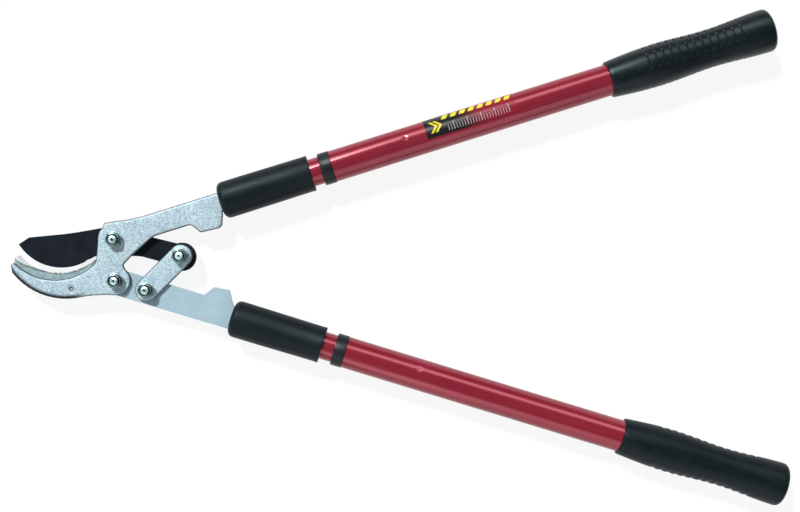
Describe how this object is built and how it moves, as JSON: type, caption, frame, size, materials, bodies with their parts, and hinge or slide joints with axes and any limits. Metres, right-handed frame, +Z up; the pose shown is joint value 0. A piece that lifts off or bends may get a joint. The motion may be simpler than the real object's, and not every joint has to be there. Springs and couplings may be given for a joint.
{
  "type": "telescopic lopper",
  "caption": "Compound-action bypass lopper with a hooked jaw, black blade and two telescopic red arms with black grips, lying flat with its pivot nuts up.",
  "frame": {"origin": "middle of the bounding box in plan, at the level of its lowest point, which is the underside of the grips", "axes": "+X runs from the cutting head to the grip ends, the longest extent; +Y is toward the arm that carries the hooked jaw; +Z is up, away from the ground the tool lies on, and out of the nut side of the pivots"},
  "size_m": [0.6848, 0.4366, 0.0382],
  "materials": {
    "spangled_zinc": "hot-dip zinc with large spangles, half matt",
    "pale_steel": "pale zinc coated steel, smooth",
    "bright_zinc": "bright zinc plated steel",
    "black_coating": "matt black non-stick coating",
    "red_enamel": "glossy red enamel",
    "black_rubber": "soft black rubber, satin",
    "black_plastic": "black moulded plastic",
    "grey_plastic": "dark grey moulded plastic"
  },
  "bodies": {
    "root": {"hook_plate": "spangled_zinc", "counter_plate": "bright_zinc", "counter_rivet": "bright_zinc", "blade_pivot_bolt": "bright_zinc", "blade_pivot_nut": "bright_zinc", "blade_pivot_washer": "bright_zinc", "handle_pivot_bolt": "bright_zinc", "handle_pivot_nut": "bright_zinc", "handle_pivot_washer": "bright_zinc", "upper_tang_plug": "grey_plastic", "upper_tang_rivet_1": "bright_zinc", "upper_tang_rivet_2": "bright_zinc", "upper_sleeve": "black_rubber", "upper_inner_tube": "red_enamel", "upper_lock_stem": "grey_plastic", "upper_lock_clip": "bright_zinc"},
    "blade_body": {"blade": "black_coating"},
    "link_body": {"link": "spangled_zinc", "tail_pivot_spacer": "bright_zinc", "tail_pivot_bolt": "bright_zinc", "tail_pivot_nut": "bright_zinc", "tail_pivot_washer": "bright_zinc", "lever_pivot_bolt": "bright_zinc", "lever_pivot_nut": "bright_zinc", "lever_pivot_washer": "bright_zinc"},
    "lower_handle": {"lower_handle_plate": "pale_steel", "lower_tang_plug": "grey_plastic", "lower_tang_rivet_1": "bright_zinc", "lower_tang_rivet_2": "bright_zinc", "lower_sleeve": "black_rubber", "lower_inner_tube": "red_enamel", "lower_lock_stem": "grey_plastic", "lower_lock_clip": "bright_zinc"},
    "upper_lock": {"upper_lock_cone": "bright_zinc", "upper_lock_expander": "black_plastic"},
    "upper_outer": {"upper_outer_tube": "red_enamel", "upper_guide_bush": "black_plastic", "upper_grip": "black_rubber"},
    "lower_lock": {"lower_lock_cone": "bright_zinc", "lower_lock_expander": "black_plastic"},
    "lower_outer": {"lower_outer_tube": "red_enamel", "lower_guide_bush": "black_plastic", "lower_grip": "black_rubber"}
  },
  "joints": [
    {"name": "handle_pivot", "type": "hinge", "parent": "root", "child": "lower_handle", "pos_m": [-0.24989, -0.02065, 0.0191], "axis": [0, 0, 1], "range_deg": [-35, 30]},
    {"name": "blade_pivot", "type": "hinge", "parent": "root", "child": "blade_body", "pos_m": [-0.25119, 0.01575, 0.0191], "axis": [0, 0, 1], "range_deg": [-17, 14.5]},
    {"name": "link_pivot", "type": "hinge", "parent": "blade_body", "child": "link_body", "pos_m": [-0.19292, 0.00146, 0.0191], "axis": [0, 0, 1], "range_deg": [-13.5, 15.5]},
    {"name": "upper_twist", "type": "hinge", "parent": "root", "child": "upper_lock", "pos_m": [-0.15798, 0.04937, 0.0191], "axis": [0.9542, 0.299, 0], "range_deg": [0, 90]},
    {"name": "upper_slide", "type": "slide", "parent": "upper_lock", "child": "upper_outer", "axis": [0.9542, 0.299, 0], "range_m": [0, 0.29]},
    {"name": "lower_twist", "type": "hinge", "parent": "lower_handle", "child": "lower_lock", "pos_m": [-0.14814, -0.05312, 0.0191], "axis": [0.9566, -0.2915, 0], "range_deg": [0, 90]},
    {"name": "lower_slide", "type": "slide", "parent": "lower_lock", "child": "lower_outer", "axis": [0.9566, -0.2915, 0], "range_m": [0, 0.29]}
  ],
  "couplings": [
    {"joint": "blade_pivot", "follows": "handle_pivot", "ratio": 0.46},
    {"joint": "link_pivot", "follows": "handle_pivot", "ratio": -0.42}
  ]
}
